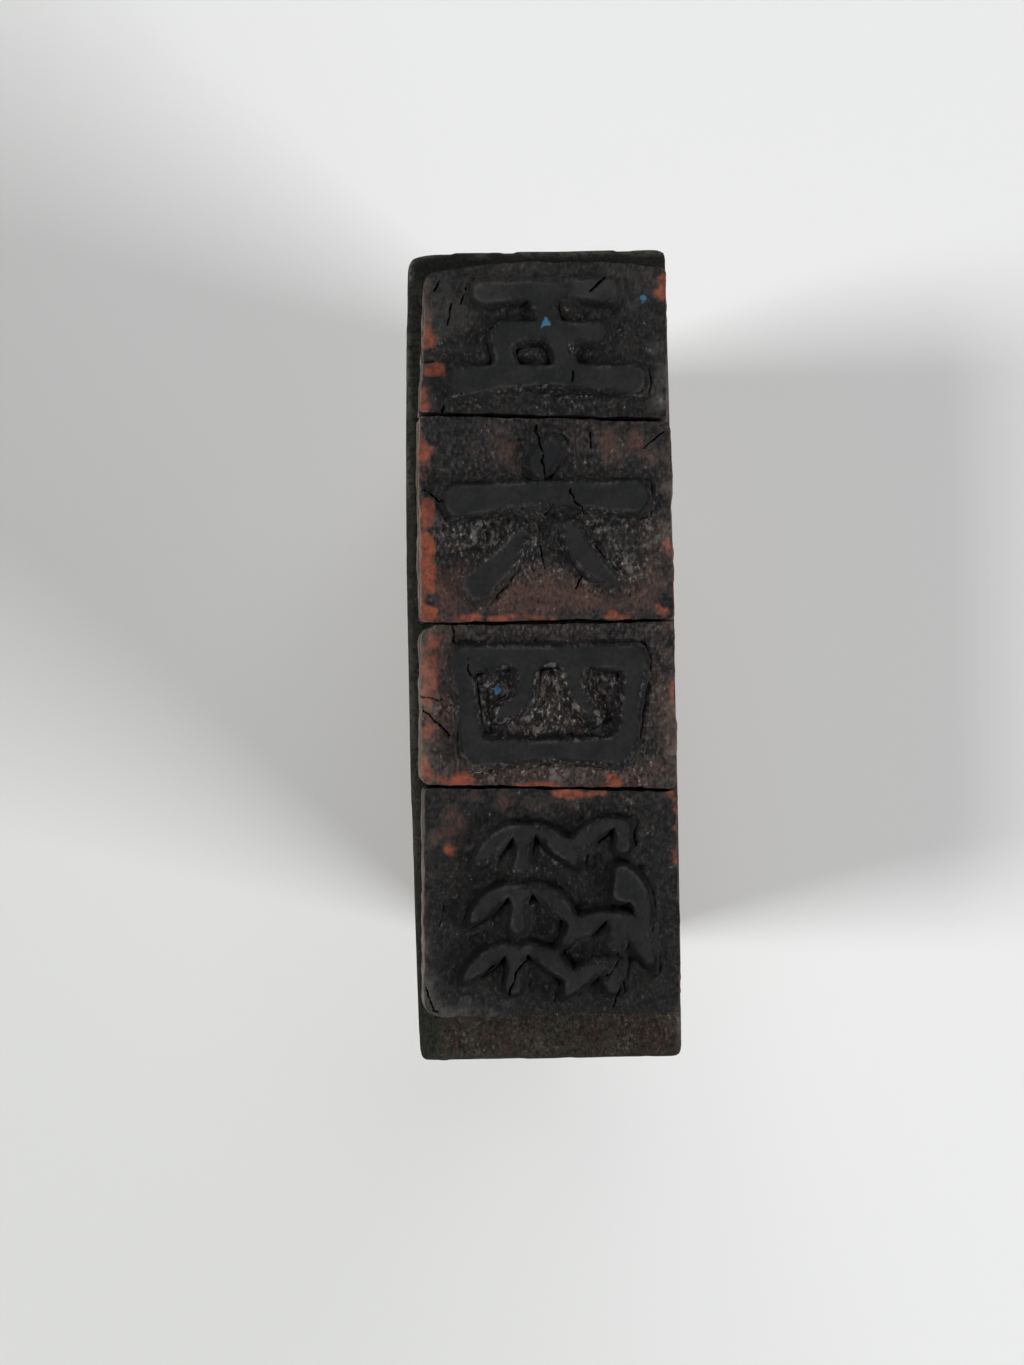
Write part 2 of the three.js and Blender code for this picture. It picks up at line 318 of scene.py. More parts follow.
    def finished(self, underside: float | None = None) -> bpy.types.Object:
        """Writes the shape back in metres, smooth shaded.

        Args:
            underside: The height of a hidden flat underside, whose faces are joined into one.

        Returns:
            The piece.
        """
        mesh = self.piece.data
        mesh.vertices.foreach_set("co", self.points.ravel())
        mesh.update()
        if underside is not None:
            work = bmesh.new()
            work.from_mesh(mesh)
            hidden = [f for f in work.faces if all(abs(v.co.z - underside) < self.FLAT for v in f.verts)]
            bmesh.ops.dissolve_faces(work, faces=hidden, use_verts=True)
            work.to_mesh(mesh)
            work.free()
        mesh.transform(Matrix.Scale(MM, 4))
        mesh.shade_smooth()
        return self.piece


class Shade:
    """A number or colour on its way through a material's nodes."""

    def __init__(self, paint: "Paint", socket: bpy.types.NodeSocket) -> None:
        """Wraps an output socket of a material."""
        self.paint = paint
        self.socket = socket

    def _maths(self, operation: str, first: Any, second: Any) -> "Shade":
        """Adds one Math node."""
        return self.paint.node("Math", {"operation": operation}, {0: first, 1: second})

    def __add__(self, other: Any) -> "Shade":
        """Adds."""
        return self._maths("ADD", self, other)

    def __sub__(self, other: Any) -> "Shade":
        """Subtracts."""
        return self._maths("SUBTRACT", self, other)

    def __rsub__(self, other: float) -> "Shade":
        """Subtracts this from a number."""
        return self._maths("SUBTRACT", other, self)

    def __mul__(self, other: Any) -> "Shade":
        """Multiplies."""
        return self._maths("MULTIPLY", self, other)

    __radd__ = __add__
    __rmul__ = __mul__

    def largest(self, other: Any) -> "Shade":
        """Takes the larger of the two."""
        return self._maths("MAXIMUM", self, other)

    def graded(self, low: float, high: float, to_low: float = 0.0, to_high: float = 1.0) -> "Shade":
        """Rises smoothly between two values.

        Args:
            low: Where the result is to_low.
            high: Where the result is to_high.
            to_low: The result at low.
            to_high: The result at high.

        Returns:
            The graded number.
        """
        values = {0: self, 1: low, 2: high, 3: to_low, 4: to_high}
        return self.paint.node("MapRange", {"interpolation_type": "SMOOTHSTEP"}, values)


class Paint:
    """The node tree of one material, made node by node."""

    def __init__(self, name: str, tree: bpy.types.NodeTree | None = None) -> None:
        """Starts an empty material, or empties a tree that is given.

        Args:
            name: The material's name.
            tree: Another node tree to fill instead.
        """
        if tree is None:
            self.material = bpy.data.materials.new(name)
            self.material.use_nodes = True
            tree = self.material.node_tree
        self.tree = tree
        self.tree.nodes.clear()

    def node(
        self,
        kind: str,
        settings: dict[str, Any] | None = None,
        values: dict[Any, Any] | None = None,
        output: Any = 0,
    ) -> Shade:
        """Adds any node.

        Args:
            kind: The node's type, without ShaderNode.
            settings: Its settings, set first.
            values: Its sockets' values or links.
            output: The output that is wanted.

        Returns:
            That output.
        """
        made = self.tree.nodes.new(f"ShaderNode{kind}")
        for name, value in (settings or {}).items():
            setattr(made, name, value)
        for name, value in (values or {}).items():
            if isinstance(value, Shade):
                self.tree.links.new(value.socket, made.inputs[name])
            else:
                made.inputs[name].default_value = value
        return Shade(self, made.outputs[output])

    def places(self, stretch: Point = (1, 1, 1)) -> Shade:
        """Gives places on the piece in millimetres.

        Args:
            stretch: How much each axis is drawn out.

        Returns:
            The places.
        """
        own = self.node("TexCoord", output="Object")
        scale = tuple(1 / (MM * length) for length in stretch)
        return self.node("VectorMath", {"operation": "MULTIPLY"}, {0: own, 1: scale})

    def noise(self, places: Shade, size: float, detail: float = 2, roughness: float = 0.5) -> Shade:
        """Gives soft noise.

        Args:
            places: Where it is read.
            size: How large its lumps are, in millimetres.
            detail: How many finer layers it has.
            roughness: How strong those are.

        Returns:
            Numbers around 0.5.
        """
        values = {"Vector": places, "Scale": 1 / size, "Detail": detail, "Roughness": roughness}
        return self.node("TexNoise", None, values)

    def mark(self, mark: Mark) -> Shade:
        """Reads a mark that a fine mesh carries."""
        return self.node("Attribute", {"attribute_name": mark.value}, output="Fac")

    def mixed(self, share: Any, first: Any, second: Any) -> Shade:
        """Mixes two colours, with the given share of the second."""
        colours = [c if isinstance(c, Shade) else (*c, 1.0) for c in (first, second)]
        values = {0: share, 6: colours[0], 7: colours[1]}
        return self.node("Mix", {"data_type": "RGBA"}, values, 2)

    def bump(self, height: Shade, depth: float, strength: float = 1.0) -> Shade:
        """Turns heights into a tilt of the surface.

        Args:
            height: Heights from 0 to 1.
            depth: What 1 stands for, in millimetres.
            strength: How strongly it shows.

        Returns:
            The tilted normal.
        """
        values = {"Strength": strength, "Distance": depth * MM, "Height": height}
        return self.node("Bump", None, values)

    def surface(
        self, colour: Any, roughness: Any, normal: Shade | None = None, gloss: float = 0.5
    ) -> bpy.types.Material:
        """Closes the material.

        Args:
            colour: Its colour.
            roughness: Its roughness.
            normal: Its tilted normal, if it has one.
            gloss: How strongly it reflects.

        Returns:
            The finished material.
        """
        values = {"Base Color": colour, "Roughness": roughness, "Specular IOR Level": gloss}
        if normal is not None:
            values["Normal"] = normal
        self.close(self.node("BsdfPrincipled", None, values), "Material")
        return self.material

    def close(self, shader: Shade, kind: str) -> None:
        """Links a shader to an output of the kind that is named, Material or World."""
        out = self.tree.nodes.new(f"ShaderNodeOutput{kind}")
        self.tree.links.new(shader.socket, out.inputs["Surface"])


@dataclass(frozen=True)
class InkedRubber:
    """Vermilion rubber under a crust of dried black ink, worn through at its edges."""

    stroke: Colour = srgb(28, 29, 30)
    stroke_worn: Colour = srgb(40, 40, 41)
    crust: Colour = srgb(20, 20, 21)
    crust_grey: Colour = srgb(39, 39, 41)
    crust_brown: Colour = srgb(41, 39, 37)
    # Pale crumbs, and the painted highlight along the strokes' rims.
    fleck_and_highlight: Colour = srgb(94, 90, 87)
    pit: Colour = srgb(12, 12, 13)
    pale_fleck: Colour = srgb(136, 132, 126)
    thin_brown: Colour = srgb(56, 48, 46)
    thin_red: Colour = srgb(86, 60, 52)
    rubber: Colour = srgb(134, 72, 54)
    rubber_dusty: Colour = srgb(84, 57, 50)
    # Also the painted highlight on the left walls and corners.
    dust_and_highlight: Colour = srgb(130, 115, 106)
    grey_dust_and_highlight: Colour = srgb(112, 110, 106)
    blue: Colour = srgb(62, 98, 126)
    # For painted shade in cracks, creases, beside the strokes and on knife-cut walls.
    black: Colour = srgb(5, 5, 7)
    pebble_depth: float = 0.09
    gloss: float = 0.1

    def material(self) -> bpy.types.Material:
        """Makes the material."""
        paint = Paint("inked_rubber")
        at = paint.places()
        fine = paint.noise(at, 0.42, 4, 0.65)
        speck = paint.noise(paint.places((1, 1.6, 1)), 0.22, 3, 0.6)
        broad = paint.noise(at, 1.7, 3, 0.6)
        stroke = paint.mark(Mark.STROKE)
        ground = 1 - stroke * 0.8

        # The crust of ink: brown and red where it is thin, black where sooty and as painted shade in hollows.
        thin = paint.mark(Mark.THIN) - 0.1 + (broad - 0.5) * 0.5 + (fine - 0.5) * 0.5
        light = paint.mixed(broad.graded(0.4, 0.62), self.crust_grey, self.crust_brown)
        colour = paint.mixed((speck * 0.35 + fine).graded(0.5, 0.78), self.crust, light)
        open_thin = speck.graded(0.3, 0.55, 0.55, 1.0)
        colour = paint.mixed(thin.graded(0.1, 0.6) * open_thin, colour, self.thin_brown)
        colour = paint.mixed(thin.graded(0.6, 1.25) * open_thin, colour, self.thin_red)
        colour = paint.mixed(paint.mark(Mark.SOOT_AND_SHADE) * fine.graded(0.25, 0.6, 1.0, 0.5), colour, self.crust)

        # Dark pits and pale crumbs on the ground between the strokes.
        crumb = paint.mark(Mark.CRUMB)
        grit = paint.mark(Mark.GRIT) + (broad - 0.5) * 0.6
        pits = speck.graded(0.46, 0.34) * grit.graded(0.1, 0.9, 0.2, 0.85)
        colour = paint.mixed(pits * ground, colour, self.pit)
        here = speck.graded(0.52, 0.66) * grit.graded(0.1, 0.9, 0.14, 0.75) * ground
        colour = paint.mixed(here.largest(crumb.graded(0.15, 0.8, 0.0, 0.9)), colour, self.fleck_and_highlight)
        bright = (speck + fine * 0.25 + grit * 0.1).graded(0.84, 0.94)
        colour = paint.mixed(bright * ground, colour, self.pale_fleck)

        # Smooth ink on the strokes, with a painted highlight along their rims.
        worn = (broad * 0.6 + fine * 0.5 + speck * 0.4).graded(0.6, 0.9)
        inked = paint.mixed(worn, self.stroke, self.stroke_worn)
        smooth = (stroke + (fine - 0.5) * 0.7 + (speck - 0.5) * 0.5).graded(0.3, 0.75)
        colour = paint.mixed(smooth * stroke.graded(0.05, 0.3), colour, inked)
        colour = paint.mixed(paint.mark(Mark.RIM_HIGHLIGHT) * speck.graded(0.3, 0.6, 0.3, 0.8), colour, self.fleck_and_highlight)

        # Bare rubber, pale dusting with painted highlight, blue chips, and painted shade in cracks, creases
        # and cuts.
        bare = paint.mark(Mark.BARE) + (fine - 0.5) * 0.9 + (speck - 0.5) * 0.9
        colour = paint.mixed(bare.graded(0.25, 0.65) * 0.85, colour, self.rubber_dusty)
        colour = paint.mixed(bare.graded(0.55, 1.15) * fine.graded(0.35, 0.6, 0.35, 1.0), colour, self.rubber)
        dust_and_highlight = paint.mixed(paint.mark(Mark.SOOT_AND_SHADE).graded(0.1, 0.3), self.dust_and_highlight, self.grey_dust_and_highlight)
        colour = paint.mixed(paint.mark(Mark.DUST_AND_HIGHLIGHT) * fine.graded(0.3, 0.6, 0.6, 1.0), colour, dust_and_highlight)
        colour = paint.mixed(paint.mark(Mark.BLUE), colour, self.blue)
        colour = paint.mixed(paint.mark(Mark.PAINTED_SHADE), colour, self.black)

        height = (fine * 0.6 + speck) * (1 - stroke * 0.7)
        tilt = paint.bump(height, self.pebble_depth, 0.8)
        return paint.surface(colour, fine.graded(0.2, 0.8, 0.7, 0.95), tilt, self.gloss)


@dataclass(frozen=True)
class StainedWood:
    """Hardwood soaked in old ink near its face, browner and hand-polished lower down."""

    soaked: Colour = srgb(9, 9, 8)
    olive: Colour = srgb(44, 44, 38)
    bared: Colour = srgb(58, 51, 41)
    bared_red: Colour = srgb(60, 42, 38)
    bared_brown: Colour = srgb(42, 31, 27)
    bared_pale: Colour = srgb(76, 67, 54)
    late: Colour = srgb(76, 50, 32)
    early: Colour = srgb(128, 92, 62)
    grime: Colour = srgb(40, 30, 22)
    worn: Colour = srgb(96, 95, 90)
    stain_depth: float = 13.0
    face_zone: Place = (1.4, 0.3)
    heart: Point = (22, 0, -26)
    pore_depth: float = 0.06
    gloss: float = 0.12

    def material(self, face: float) -> bpy.types.Material:
        """Makes the material.

        Args:
            face: The height of the handle's face, in millimetres.

        Returns:
            The material.
        """
        paint = Paint("stained_wood")
        at = paint.places()
        height = paint.node("SeparateXYZ", None, {0: at}, "Z")
        wander = paint.noise(paint.places((1, 2.5, 1)), 6, 4, 0.6)
        pores = paint.noise(paint.places((1, 16, 1)), 0.16, 3, 0.6)
        speck = paint.noise(paint.places((1, 1.6, 1)), 0.14, 3, 0.7)
        fine = paint.noise(at, 0.42, 4, 0.7)
        blotch = paint.noise(at, 1.9, 3, 0.6)
        handled = paint.noise(paint.places((1, 2.2, 1)), 7, 4, 0.55)
        wood = paint.mixed(self._rings(paint).graded(0.1, 0.9, 0.1, 0.5), self.early, self.late)
        wood = paint.mixed(pores.graded(0.5, 0.68) * 0.55, wood, self.late)
        wood = paint.mixed(handled.graded(0.34, 0.72) * 0.62, wood, self.grime)
        start, full = (face - depth for depth in self.face_zone)
        mottle = (speck * 0.7 + fine).graded(0.68, 1.02) * height.graded(start, full, 0.4, 1.0)
        soaked = paint.mixed(mottle, self.soaked, self.olive)
        stain = (height + (wander - 0.5) * 12 + (fine - 0.5) * 2).graded(face - self.stain_depth, face - 4)
        splash = (wander * 0.6 + fine * 0.4 + (height - face) * 0.009).graded(0.46, 0.5)
        colour = paint.mixed(stain.largest(splash * 0.6), wood, soaked)
        dots = paint.noise(paint.places((1, 1.6, 1)), 0.2, 2, 0.7)
        strip = paint.mark(Mark.THIN) * wander.graded(0.35, 0.6, 0.45, 1.0)
        strip = strip * (dots + speck * 0.6 + fine * 0.4).graded(0.8, 1.25)
        colour = paint.mixed(strip, colour, self._bared(paint, blotch, dots))
        rubbed_grain = dots.graded(0.6, 0.74) * height.graded(start, full) * 0.3
        colour = paint.mixed(rubbed_grain, colour, self.worn)
        # Darker towards the far end of the face.
        colour = paint.mixed(paint.mark(Mark.SOOT_AND_SHADE) * fine.graded(0.3, 0.6, 0.95, 0.6), colour, self.soaked)
        rubbed = paint.mixed(stain, self.early, self.worn)
        colour = paint.mixed(paint.mark(Mark.DUST_AND_HIGHLIGHT) * fine.graded(0.35, 0.6), colour, rubbed)
        rough = fine.graded(0.3, 0.7, 0.6, 0.85)
        tilt = paint.bump(pores * 0.5 + speck * 0.5, self.pore_depth, 0.7)
        return paint.surface(colour, rough, tilt, self.gloss)

    def _rings(self, paint: Paint) -> Shade:
        """Draws the growth rings round the tree's heart, which lay beside the handle."""
        warp = paint.noise(paint.places((1, 9, 1)), 12, 3, 0.5)
        along = paint.places((1, 30, 1))
        grown = paint.node("VectorMath", {"operation": "ADD"}, {0: along, 1: self.heart})
        settings = {"wave_type": "RINGS", "rings_direction": "Y", "wave_profile": "SIN"}
        values = {
            "Vector": grown,
            "Scale": 0.25,
            "Distortion": 1.8,
            "Detail": 3.0,
            "Detail Scale": 0.5,
            "Phase Offset": warp * 40,
        }
        return paint.node("TexWave", settings, values, "Fac")

    def _bared(self, paint: Paint, blotch: Shade, dots: Shade) -> Shade:
        """Mixes the colours of the wood that is rubbed bare near the face's edge."""
        hue = blotch * 0.6 + dots * 0.8
        tint = paint.mixed(blotch.graded(0.42, 0.58), self.bared_red, self.bared)
        bared = paint.mixed(hue.graded(0.55, 0.72), self.bared_brown, tint)
        return paint.mixed(hue.graded(0.78, 0.9), bared, self.bared_pale)


@dataclass(frozen=True)
class DriedCement:
    """Old amber rubber cement, dirtied by ink."""

    amber: Colour = srgb(86, 48, 26)
    dirty: Colour = srgb(24, 20, 18)

    def material(self) -> bpy.types.Material:
        """Makes the material."""
        paint = Paint("dried_cement")
        at = paint.places()
        dirt = paint.noise(at, 0.8, 3, 0.6)
        fine = paint.noise(at, 0.12, 3)
        colour = paint.mixed(dirt.graded(0.35, 0.6), self.amber, self.dirty)
        return paint.surface(colour, dirt.graded(0.3, 0.7, 0.4, 0.7), paint.bump(fine, 0.04), 0.4)


@dataclass(frozen=True)
class PaleTable:
    """A plain pale table top, with painted shade towards -X and -Y and far from the stamp."""

    pale: Colour = (0.865, 0.875, 0.87)
    shaded: Colour = (0.74, 0.75, 0.732)
    distant_shade: Colour = (0.6, 0.605, 0.6)

    def material(self) -> bpy.types.Material:
        """Makes the material."""
        paint = Paint("pale_table")
        at = paint.places()
        across = paint.node("SeparateXYZ", None, {0: at}, "X")
        along = paint.node("SeparateXYZ", None, {0: at}, "Y")
        # Painted shade: darker towards -X and -Y, and darker far away.
        shade_lean = across * 1.6 + along * 0.7 + (paint.noise(at, 60, 2) - 0.5) * 20
        colour = paint.mixed(shade_lean.graded(-120, 40), self.shaded, self.pale)
        away = paint.node("VectorMath", {"operation": "LENGTH"}, {0: at}, "Value")
        colour = paint.mixed(away.graded(200, 900), colour, self.distant_shade)
        return paint.surface(colour, 0.9, None, 0.0)


def line_distance(points: Array, line: Sequence[Place]) -> Array:
    """Measures how far places are in plan from a line of straight stretches.

    Args:
        points: Places, one row each.
        line: The line's points.

    Returns:
        The distances.
    """
    nearest = np.full(len(points), np.inf)
    for start, end in zip(np.array(line[:-1]), np.array(line[1:])):
        along = end - start
        t = np.clip((points[:, :2] - start) @ along / (along @ along), 0, 1)
        nearest = np.minimum(nearest, np.hypot(*(points[:, :2] - start - t[:, None] * along).T))
    return nearest


class PlanMap:
    """One value laid out over a die's plan, for quick wide blurs."""

    CELL = 0.06
    MARGIN = 2
    LEAST_COUNT = 1e-4

    def __init__(self, points: Array, values: Array) -> None:
        """Lays the values out.

        Args:
            points: Places, one row each.
            values: Their values.
        """
        self.corner = points[:, :2].min(axis=0) - self.MARGIN
        far_corner = points[:, :2].max(axis=0) + self.MARGIN
        self.shape = tuple(np.ceil((far_corner - self.corner) / self.CELL).astype(int))
        cells = ((points[:, :2] - self.corner) / self.CELL).astype(int)
        flat = np.ravel_multi_index(tuple(cells.T), self.shape)
        count = math.prod(self.shape)
        self.total = np.bincount(flat, values, count).reshape(self.shape)
        self.count = np.bincount(flat, minlength=count).reshape(self.shape)

    def blurred(self, points: Array, width: float) -> tuple[Array, Array]:
        """Reads the blurred map.

        Args:
            points: Where it is read, one row each.
            width: The blur's standard deviation, in millimetres.

        Returns:
            The blurred values, and how steeply they rise along Y, scaled by the width.
        """
        along, across = (np.fft.fftfreq(n, self.CELL) for n in self.shape)
        spread = np.exp(-2 * (math.pi * width) ** 2 * (along[:, None] ** 2 + across[None] ** 2))
        total, count = (np.fft.ifft2(np.fft.fft2(layer) * spread).real for layer in (self.total, self.count))
        picture = total / np.maximum(count, self.LEAST_COUNT)
        rise = np.gradient(picture, self.CELL / width, axis=1)
        place = np.clip((points[:, :2] - self.corner) / self.CELL - 0.5, 0, np.array(self.shape) - 1.001)
        cell = place.astype(int)
        t = place - cell
        read = []
        for layer in (picture, rise):
            value = np.zeros(len(points))
            for corner in np.ndindex(2, 2):
                weight = np.prod(np.where(np.array(corner) == 1, t, 1 - t), axis=1)
                value += weight * layer[tuple((cell + corner).T)]
            read.append(value)
        return read[0], read[1]


@dataclass(frozen=True)
class Zones:
    """Which part of a die each point of its mesh belongs to, as shares from 0 to 1.

    Above is above its foot, near and around are how much relief is close by and further off, melted is where
    the ink is smooth, ground is open between the strokes, and wall is the lower part of its sides.
    """

    above: Array
    near: Array
    around: Array
    melted: Array
    stroke: Array
    ground: Array
    wall: Array
    edge: Array


@dataclass
class RubberDie:
    """One rubber die: relief softened by use, a pebbly crust of ink, cracks, and edges worn to the rubber."""

    node: str
    seed: int
    bare: Spots = ()
    thin: Spots = ()
    gritty: Spots = ()
    sooty: Spots = ()
    dust_and_highlight_spots: Spots = ()
    veiled: Spots = ()
    blue: Sequence[Fleck] = ()
    cracks: Sequence[Sequence[Place]] = ()
    grit: float = 0.12
    salt: float = 0.95
    brown: float = 0.0
    soot: float = 0.0
    far_rim: float = 0.0
    shade: float = 0.5
    dust_and_highlight: float = 0.3
    veil: float = 0.08
    swell: float = 0.05
    wander: float = 0.05
    voxel: float = 0.07
    softening: int = 3
    edge_width: int = 10
    close_by: float = 0.33
    further: float = 1.2
    base: float = 1.2
    flank: Place = (1.0, 0.6)
    heap: float = 0.25
    melt: float = 0.62
    relief: float = 0.7
    lump_height: float = 0.1
    pebble_spacing: float = 0.27
    pebble_length: float = 0.65
    crack_width: float = 0.03
    crack_depth: float = 0.5
    chip: float = 0.12

    def build(self, finish: bpy.types.Material) -> bpy.types.Object:
        """Shapes the die and marks it for its finish.

        Args:
            finish: The rubber's material.

        Returns:
            The piece.
        """
        fine = FineMesh(f"{self.node}_worn", self.node, self.voxel, self.seed)
        zones = self._zones(fine)
        self._wear(fine, zones.edge)
        patches = (0.35 + 0.65 * ramp(fine.cloud(1.1, 3, 17), -0.5, 0.4)) * fine.spots(self.gritty, 0.8, 0.8)
        grit = self.grit + (self.salt - self.grit) * patches
        crumb = self._crust(fine, zones, zones.ground * grit)
        crack = self._crack(fine, zones.above)
        start, full = self.flank
        outer = ramp(abs(fine.points[:, 0]), fine.high[0] - start, fine.high[0] - full)
        fine.mark(Mark.STROKE, zones.stroke)
        fine.mark(Mark.CRUMB, crumb)
        fine.mark(Mark.GRIT, grit)
        self._mark_dark(fine, zones, crack, outer)
        self._mark_ink(fine, zones, outer)
        self._mark_wear(fine, zones, outer)
        piece = fine.finished(fine.low[2])
        piece.data.materials.append(finish)
        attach(piece, "root")
        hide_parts(self.node)
        return piece

    def _zones(self, fine: FineMesh) -> Zones:
        """Softens the die, and tells which part each point belongs to."""
        level, low, high = fine.points[:, 2], fine.low[2], fine.high[2]
        top = ramp(level, high - 0.16, high - 0.05)
        above = ramp(level, low + 0.5, low + 1.0)
        raised = level > low + self.base
        plan = PlanMap(fine.points[raised], top[raised])
        near, slope = plan.blurred(fine.points, self.close_by)
        around, _ = plan.blurred(fine.points, self.further)
        melted = ramp(fine.cloud(1.9, 2, 9) - 0.5 * slope, -0.1, 0.7)
        ragged = near + 0.09 * fine.cloud(0.6, 3) + 0.07 * fine.cloud(2.5)
        stroke = top * ramp(ragged, 0.42, 0.62 + 0.16 * melted)
        fine.points = fine.blurred(fine.points, self.softening)
        side = ramp(fine.normals()[:, 2], 0.8, 0.35)
        wall = side * ramp(fine.points[:, 2], low + 1.4, low + 1.1)
        edge = ramp(fine.convexity(self.edge_width), 0.03, 0.08) * (1 - near)
        ground = (1 - stroke) * (1 - side) * above
        return Zones(above, near, around, melted, stroke, ground, wall, edge)

    def _wear(self, fine: FineMesh, edge: Array) -> None:
        """Spreads the die a little along the row, makes its cuts uneven and nibbles its edges."""
        low, high = fine.low[1], fine.high[1]
        fine.points[:, 1] += self.swell * (fine.points[:, 1] - (high + low) / 2) / ((high - low) / 2)
        points = fine.points
        sway = fine.sway(3.0, 4) + 0.6 * fine.sway(0.55, 2)
        chips = self.chip * edge * ramp(fine.cloud(0.7, 2, 20), 0.1, 0.9)
        fine.points = points - chips[:, None] * fine.normals()
        fine.points[:, :2] += self.wander * sway

    def _crust(self, fine: FineMesh, zones: Zones, ground: Array) -> Array:
        """Heaps the dried ink up where it covers the ground, and returns how pale its crumbs are."""
        points, near, melted = fine.points, zones.near, zones.melted
        uneven = fine.cloud(1.6, 3)
        rough = fine.cloud(0.5, 4, 3)
        beside = ramp(near + 0.05 * uneven, 0.03, 0.1) * ramp(near, 0.34, 0.24)
        heaped = self.heap * beside * ramp(uneven, -0.5, 0.6)
        fill = heaped + melted * (self.melt * ramp(near, 0.02, 0.45) - heaped)
        bent = points.copy()
        bent[:, 1] *= self.pebble_length
        bent[:, :2] += 0.08 * fine.sway(0.3, 2)
        nearest, share = fine.grain.pebbles(bent, self.pebble_spacing)
        domes = np.clip(1 - (nearest / (0.06 + 0.12 * share)) ** 2, 0, 1)
        lumps = 0.55 * rough + 0.9 * domes * share - 0.1
        raised = np.maximum(points[:, 2], fine.high[2] - self.relief + fill)
        points[:, 2] += zones.above * (raised - points[:, 2])
        rise = 0.03 * uneven + self.lump_height * lumps
        fine.points = points + (ground * rise)[:, None] * fine.normals()
        return ground * ramp(lumps, -0.1, 0.9) * (1 - 0.4 * melted)

    def _crack(self, fine: FineMesh, above: Array) -> Array:
        """Cuts the cracks, and returns where they are."""
        wobble = fine.points.copy()
        wobble[:, :2] += 0.07 * fine.sway(0.5, 3)
        width = self.crack_width * (1.1 + 0.9 * fine.cloud(0.5, 2)).clip(0.3)
        crack = np.zeros(len(fine.points))
        for line in self.cracks:
            crack = np.maximum(crack, np.exp(-((line_distance(wobble, line) / width) ** 2)))
        crack *= above
        fine.points[:, 2] -= self.crack_depth * crack
        return crack

    def _mark_dark(self, fine: FineMesh, zones: Zones, crack: Array, outer: Array) -> None:
        """Marks painted shade in the cracks, the creases, beside the strokes and on the knife cuts' walls."""
        near, melted = zones.near, zones.melted
        # All painted shade: inside cracks and creases, beside the strokes, and on the overhung knife-cut
        # walls.
        crease = ramp(fine.convexity(self.edge_width), -0.03, -0.09) * zones.above * (1 - 0.7 * melted) * 0.6
        shade_band = ramp(near, 0.12, 0.3) * ramp(near, 0.56, 0.42) * (1 - 0.75 * melted) * zones.above * self.shade
        cut = 0.85 * ramp(fine.normals()[:, 2], 0.45, 0.1) * zones.wall * (1 - outer)
        fine.mark(Mark.PAINTED_SHADE, np.maximum.reduce([crack * 0.8, crease, shade_band, cut]))

    def _mark_ink(self, fine: FineMesh, zones: Zones, outer: Array) -> None:
        """Marks painted rim highlights, thin ink, soot with painted shade in hollows, and blue chips."""
        points, near = fine.points, zones.near
        # A painted highlight along the strokes' rims.
        rim = ramp(near, 0.42, 0.52) * ramp(near, 0.74, 0.58)
        fine.mark(Mark.RIM_HIGHLIGHT, rim * 0.25 * ramp(fine.cloud(1.3, 2, 5), -0.1, 0.8))
        thin = self.brown + (1 - self.brown) * fine.spots(self.thin, 0.7, 1.0)
        halo = fine.spots(self.bare, 0.4, 0.7)
        fine.mark(Mark.THIN, np.maximum(np.maximum(thin, halo) * (1 - near), zones.wall * outer * 0.6))
        sooty = fine.spots(self.sooty, 0.8, 1.0)
        # Painted shade on the ground in hollows that the strokes enclose.
        enclosed_hollow_shade = 0.25 * ramp(zones.around, 0.35, 0.6) * zones.ground
        fine.mark(Mark.SOOT_AND_SHADE, np.maximum(self.soot, sooty) * zones.above + enclosed_hollow_shade)
        fine.mark(Mark.BLUE, fine.flecks(self.blue))

    def _mark_wear(self, fine: FineMesh, zones: Zones, outer: Array) -> None:
        """Marks dusting and bare rubber on edges, long flanks and spots, and painted highlight on left walls.
        """
        points, edge, (start, full) = fine.points, zones.edge, self.flank
        left = ramp(points[:, 0], fine.low[0] + start, fine.low[0] + full)
        far = self.far_rim * ramp(points[:, 1], fine.high[1] - 1.2, fine.high[1] - 0.8)
        patchy = ramp(fine.cloud(2.0, 2), -0.6, 0.4)
        broken = ramp(fine.cloud(0.7, 3, 5), 0.0, 0.7)
        # A painted highlight on the left walls and on faces turned to the left.
        lit = np.maximum(zones.wall, ramp(fine.normals()[:, 0], -0.25, -0.6)) * left
        worn = np.maximum(0.5 * edge * broken, np.minimum(2.5 * edge, 1) * far * (0.6 + 0.4 * patchy))
        # Spots of dusting, some of them painted highlight along the left edges.
        dust_and_highlight_spots = self.dust_and_highlight * fine.spots(self.dust_and_highlight_spots, 0.4, 0.7)
        dust_and_highlight_spots += self.veil * fine.spots(self.veiled, 0.5, 0.6)
        fine.mark(Mark.DUST_AND_HIGHLIGHT, np.maximum.reduce([worn, lit * (0.7 + 0.3 * patchy), dust_and_highlight_spots]))
        bare = fine.spots(self.bare, 0.25, 0.3) * (1 - ramp(zones.near, 0.2, 0.5))
        fine.mark(Mark.BARE, np.maximum(bare, zones.wall * (outer - left) * 0.5 * patchy))


@dataclass
class CementFilm:
    """The film of rubber cement under one die, squeezed out unevenly."""

    node: str
    seed: int
    voxel: float = 0.1
    squeeze: float = 0.1

    def build(self, finish: bpy.types.Material) -> bpy.types.Object:
        """Shapes the film.

        Args:
            finish: The cement's material.

        Returns:
            The piece.
        """
        fine = FineMesh(f"{self.node}_film", self.node, self.voxel, self.seed)
        outward = fine.normals()
        outward[:, 2] = 0
        rise = self.squeeze * (0.6 + fine.cloud(1.2, 2))
        fine.points = fine.points + rise[:, None] * outward
        piece = fine.finished()
        piece.data.materials.append(finish)
        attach(piece, "root")
        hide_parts(self.node)
        return piece


